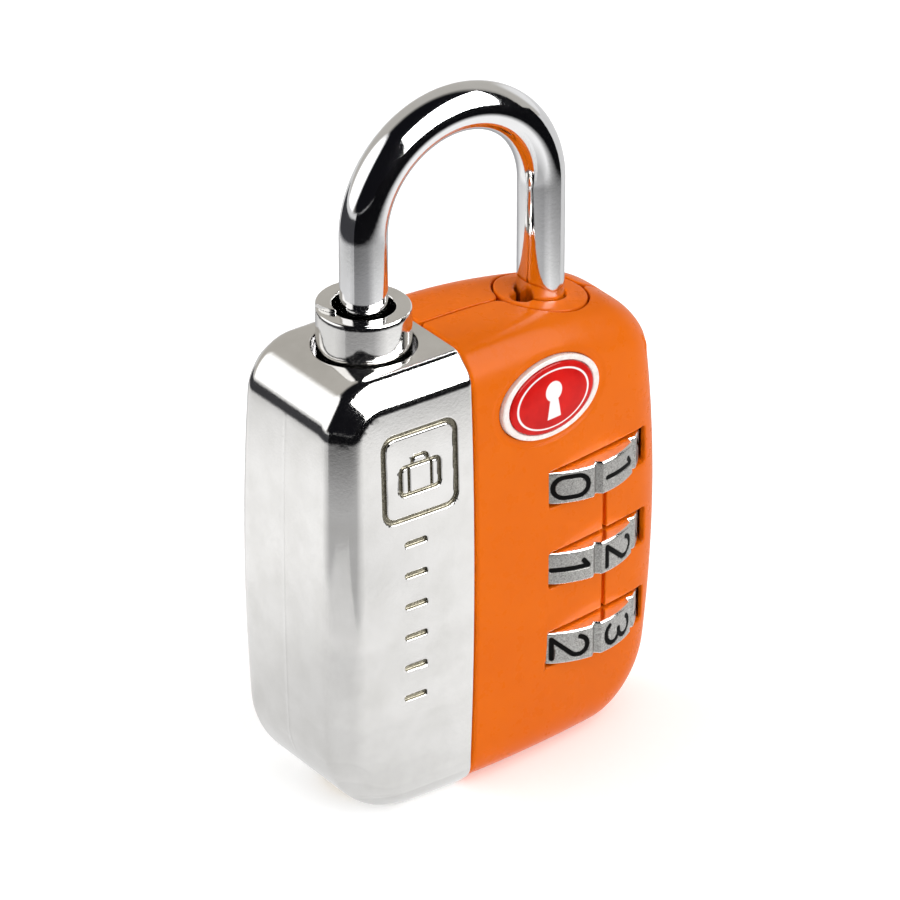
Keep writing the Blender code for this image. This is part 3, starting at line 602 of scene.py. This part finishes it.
def digit_table(first):
    """Distance to the nearest stroke, by place round the dial and height. The first face shows first."""
    pitch = FACE * DIAL_R
    around_dial = np.arange(0, 10 * pitch, TABLE_STEP)
    height = np.arange(-DIAL_H / 2, DIAL_H / 2 + TABLE_STEP, TABLE_STEP)
    u, v = np.meshgrid(around_dial, height, indexing="ij")
    table = np.full(u.shape, 9.0)
    for face in range(10):
        here = np.abs(u - (face + 0.5) * pitch) < pitch * 0.6
        up = (u[here] - (face + 0.5) * pitch) / DIGIT_HEIGHT
        across = -v[here] / DIGIT_WIDTH
        nearest = np.full(up.shape, 9.0)
        for line in DIGITS[(first + face) % 10]:
            for a, b in zip(line, line[1:]):
                if a != b:
                    nearest = np.minimum(nearest, segment(across, up, a, b))
        table[here] = np.minimum(table[here], nearest)
    return table


def dial(middle, first):
    table = digit_table(first)

    def strokes(x, y, z):
        """Distance to the edge of a stroke, interpolated in the table."""
        turn = np.mod(np.arctan2(y, x - TOE_X) + math.pi / 2, 2 * math.pi)
        u = turn * DIAL_R / TABLE_STEP
        v = (z - middle + DIAL_H / 2) / TABLE_STEP
        u, v = np.broadcast_arrays(u, v)
        v = np.clip(v, 0, table.shape[1] - 1.001)
        iu, iv = np.floor(u).astype(int) % table.shape[0], np.floor(v).astype(int)
        fu, fv = u - np.floor(u), v - iv
        ju = (iu + 1) % table.shape[0]
        left = table[iu, iv] * (1 - fv) + table[iu, iv + 1] * fv
        right = table[ju, iv] * (1 - fv) + table[ju, iv + 1] * fv
        return left * (1 - fu) + right * fu - STROKE

    def field(x, y, z):
        radius = np.hypot(x - TOE_X, y)
        turn = np.arctan2(y, x - TOE_X) + math.pi / 2
        from_groove = np.abs(np.mod(turn / FACE + 0.5, 1) - 0.5) * FACE * DIAL_R
        groove = GROOVE_DEPTH * np.clip(1 - from_groove / GROOVE_HALF, 0, 1) ** 0.8
        side = radius - DIAL_R + groove
        level = np.abs(z - middle) - DIAL_H / 2
        f = both(both(side, level, 0.08), (side + level + DIAL_BEVEL) / math.sqrt(2), 0.08)
        f = both(f, DIAL_BORE_R - radius)
        return without(f, both(strokes(x, y, z), DIAL_R - INK_DEPTH - radius, 0.05), 0.05)

    def ink(x, y, z):
        outside = np.hypot(x - TOE_X, y) > DIAL_R - 0.3
        return np.clip(0.9 - strokes(x, y, z) / 0.06, 0, 1) * outside

    def bevel(x, y, z):
        return np.clip((np.abs(z - middle) - DIAL_H / 2 + DIAL_BEVEL + 0.03) / 0.06, 0, 1)

    return field, {"ink": ink, "bevel": bevel}


FIRST_DIGIT = {"top": 1, "middle": 2, "bottom": 3}
for name, middle in DIAL_Z.items():
    field, masks = dial(middle, FIRST_DIGIT[name])
    build(f"number_wheel_{name}", f"dial_{name}", field, 0.07, f"dial_{name}_body", "satin_dial", masks=masks)


# ---- badge ----
def badge_rim(x, y, z):
    share, out = badge_place(x, y, z)
    f = both(both((share - 1.0) * BADGE_REACH, out - 0.14, 0.16), -0.42 - out)
    return without(f, both((share - 0.875) * BADGE_REACH, -0.08 - out), 0.12)


def badge_dome(x, y, z):
    share, out = badge_place(x, y, z)
    top = 0.46 - 0.36 * share**4 - 0.1 * share**2
    return both(both((share - 0.862) * BADGE_REACH, out - top, 0.14), -0.02 - out)


build("oval_rim", "badge_rim", badge_rim, 0.06, "lock_body", "badge_rim")
build("oval_dome", "badge_dome", badge_dome, 0.06, "lock_body", "red_resin")


# ---- key cylinder, seen at the base ----
def barrel(x, y, z):
    radius = np.hypot(x - HEEL_X, y)
    f = both(radius - 3.6, 1.25 - z, 0.35)
    return both(both(f, 2.4 - radius, 0.12), z - 10.8)


def plug(x, y, z):
    radius = np.hypot(x - HEEL_X, y)
    f = both(both(radius - 2.25, 1.15 - z, 0.3), z - 10.6)
    f = without(f, block(x, y, z, (HEEL_X - 0.5, HEEL_X + 0.5), (-1.5, 1.5), (0, 8.6), 0.1), 0.25)
    for wafer_z in (3.4, 5.4, 7.4):
        f = without(f, block(x, y, z, (HEEL_X - 1.1, HEEL_X + 1.1), (-3, 3), (wafer_z - 0.4, wafer_z + 0.4)))
    return f


build("cylinder_sleeve", "key_barrel", barrel, 0.09, "lock_body", "brass")
build("cylinder_plug", "key_plug", plug, 0.09, "key_body", "brass")


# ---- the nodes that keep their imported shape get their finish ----
SLOT_OF = {row["node"]: row["material_slot"] for row in frame["record"]["subparts"]}
for name, node in frame["nodes"].items():
    for place in node.material_slots:
        place.material = FINISH[SLOT_OF[name]]


# ---- studio: lamps light the object unseen, and cards that only reflections see surround it ----
FLOOR = 1600
ROUND_STEPS = 24


def unlit(made, name, colour, strength=1.0, spot=None):
    """Makes a mesh a card of one colour. A spot is (middle, full, none): it fades between the two radii."""
    n = Nodes(name)
    n.set(Base_Color=(0, 0, 0), Roughness=1.0, Specular_IOR_Level=0.0)
    n.set(Emission_Color=colour, Emission_Strength=strength)
    if spot:
        middle, full, none = spot
        at = tuple(c * MM for c in middle)
        away = n.add("ShaderNodeVectorMath", {"operation": "DISTANCE"}, i0=n.place(), i1=at)
        n.set(Alpha=n.ramp(away.outputs["Value"], none * MM, full * MM))
    made.data.materials.append(n.material)
    made.visible_camera = made.visible_diffuse = made.visible_shadow = False


def flat_mesh(name, points, faces):
    mesh = bpy.data.meshes.new(name)
    mesh.from_pydata([tuple(c * MM for c in point) for point in points], [], faces)
    made = bpy.data.objects.new(name, mesh)
    bpy.context.scene.collection.objects.link(made)
    return made


def level_sheet(name, xs, ys, z):
    corners = [(xs[0], ys[0], z), (xs[1], ys[0], z), (xs[1], ys[1], z), (xs[0], ys[1], z)]
    return flat_mesh(name, corners, [(0, 1, 2, 3)])


def floor_card(name, xs, ys, z, colour, spot=None):
    unlit(level_sheet(name, xs, ys, z), name, colour, spot=spot)


def round_card(name, edges, start, end, colour, spot=None):
    """A strip round the object between two (radius, z) edges, from start to end degrees about Z."""
    turns = [math.radians(start + (end - start) * i / ROUND_STEPS) for i in range(ROUND_STEPS + 1)]
    points = [(radius * math.cos(t), radius * math.sin(t), z) for radius, z in edges for t in turns]
    row = len(turns)
    made = flat_mesh(name, points, [(i, i + 1, i + row + 1, i + row) for i in range(ROUND_STEPS)])
    unlit(made, name, colour, spot=spot)


def sky_card(name, at, low, high, height, colour, strength=1):
    """A card at a place, facing the object: low and high are the two ends of its lower and its upper edge."""
    h = height / 2
    corners = [(low[0], -h, 0), (low[1], -h, 0), (high[1], h, 0), (high[0], h, 0)]
    made = flat_mesh(name, corners, [(0, 1, 2, 3)])
    facing = Vector(at).to_track_quat("Z", "Y").to_matrix().to_4x4()
    made.matrix_world = Matrix.Translation(Vector(at) * MM) @ facing
    unlit(made, name, colour, strength)


def lamp(name, at, size, power):
    """A rectangle of light aimed at the object."""
    light = bpy.data.lights.new(name, "AREA")
    light.shape = "RECTANGLE"
    light.size, light.size_y = size[0] * MM, size[1] * MM
    light.energy = power
    made = bpy.data.objects.new(name, light)
    made.location = Vector(at) * MM
    made.rotation_mode = "QUATERNION"
    made.rotation_quaternion = (Vector((0, 0, 25)) - Vector(at)).to_track_quat("-Z", "Y")
    made.visible_glossy = False
    bpy.context.scene.collection.objects.link(made)


floor = level_sheet("floor", (-FLOOR, FLOOR), (-FLOOR, FLOOR), 0)
n = Nodes("floor")
n.set(Base_Color=(0.93, 0.93, 0.93), Roughness=1.0, Specular_IOR_Level=0.0)
n.set(Emission_Color=(1.0, 1.0, 1.0), Emission_Strength=0.3)
floor.data.materials.append(n.material)

KEY_AT = (247, -464, 382)
lamp("key", KEY_AT, (844, 750), 3.7)
lamp("top_fill", (0, 0, 900), (900, 900), 2.5)
lamp("front_fill", (-330, -470, 420), (700, 700), 0.6)
lamp("back_fill", (-420, 500, 450), (600, 600), 2.4)

WHITE, BLACK = (1, 1, 1), (0.004, 0.004, 0.005)
sky_card("softbox", KEY_AT, (-300, 200), (-480, 520), 750, WHITE, 9.0)
sky_card("softbox_edge", KEY_AT, (200, 520), (520, 560), 750, BLACK)
floor_card("floor_seen", (-FLOOR, FLOOR), (-FLOOR, FLOOR), 0.5, (0.74, 0.74, 0.74))
floor_card("bright_zone", (-120, 120), (-120, 120), 0.7, (1.08, 1.08, 1.08), ((-8, -6, 0.7), 72, 96))
floor_card("left_shade", (-60, 10), (-40, 50), 0.8, (0.82, 0.82, 0.82), ((-22, 6, 0.8), 9, 34))
floor_card("grey_zone", (-190, 40), (-190, 40), 1, (0.52, 0.52, 0.525), ((-66, -60, 1), 42, 88))
floor_card("rear_zone", (-60, 140), (-40, 170), 1, (0.42, 0.42, 0.43), ((42, 68, 1), 34, 72))
round_card("dark_floor", ((72, 2), (1500, 2)), 190, 345, BLACK, ((0, 0, 2), 118, 79))
round_card("side_floor", ((96, 2), (480, 2)), 98, 190, (0.05, 0.05, 0.055), ((0, 0, 2), 122, 100))
round_card("front_flag", ((460, 0), (460, 95)), -115, -14, BLACK)

world = bpy.data.worlds.new("studio")
world.use_nodes = True
bpy.context.scene.world = world
tree = world.node_tree
background = tree.nodes["Background"]
coordinates = tree.nodes.new("ShaderNodeTexCoord")


def lobe(axis, inner, outer):
    """1 within inner degrees of a direction, falling to 0 at outer degrees."""
    dot = tree.nodes.new("ShaderNodeVectorMath")
    dot.operation = "DOT_PRODUCT"
    tree.links.new(coordinates.outputs["Generated"], dot.inputs[0])
    dot.inputs[1].default_value = Vector(axis).normalized()
    ramp = tree.nodes.new("ShaderNodeMapRange")
    ramp.interpolation_type = "SMOOTHSTEP"
    tree.links.new(dot.outputs["Value"], ramp.inputs["Value"])
    ramp.inputs["From Min"].default_value = math.cos(math.radians(outer))
    ramp.inputs["From Max"].default_value = math.cos(math.radians(inner))
    return ramp.outputs["Result"]


def blend(share, a, b):
    """Colour a where share is 0, b where it is 1."""
    node = tree.nodes.new("ShaderNodeMix")
    node.data_type = "RGBA"
    tree.links.new(share, node.inputs["Factor"])
    for key, value in (("A", a), ("B", b)):
        if isinstance(value, bpy.types.NodeSocket):
            tree.links.new(value, node.inputs[key])
        else:
            node.inputs[key].default_value = (*value, 1)
    return node.outputs["Result"]


# a warm grey sky behind, dark in front and overhead, and one bright patch on either side of it
sky = blend(lobe((-0.3, -0.7, 0.65), 68, 88), (0.53, 0.51, 0.475), (0.006, 0.006, 0.008))
sky = blend(lobe((-0.786, 0.491, 0.375), 26, 34), sky, (1.5, 1.5, 1.5))
sky = blend(lobe((0.94, 0.34, -0.05), 14, 26), sky, (0.9, 0.9, 0.9))
tree.links.new(sky, background.inputs["Color"])
background.inputs["Strength"].default_value = 1.0

# ---- camera ----
AZIMUTH, ELEVATION = math.radians(36.0), math.radians(29.3)
DISTANCE, LENS = 550.0, 264.0
level = math.cos(ELEVATION)
along = Vector((math.sin(AZIMUTH) * level, math.cos(AZIMUTH) * level, -math.sin(ELEVATION)))
target = Vector((-0.78, 0.40, 28.36))
camera_data = bpy.data.cameras.new("camera")
camera_data.lens = LENS
camera_data.sensor_width = 36.0
camera_data.clip_start, camera_data.clip_end = 0.01, 20
camera = bpy.data.objects.new("camera", camera_data)
camera.location = (target - along * DISTANCE) * MM
camera.rotation_mode = "QUATERNION"
camera.rotation_quaternion = along.to_track_quat("-Z", "Y")
bpy.context.scene.collection.objects.link(camera)
bpy.context.scene.camera = camera
bpy.context.scene.view_settings.view_transform = "Standard"
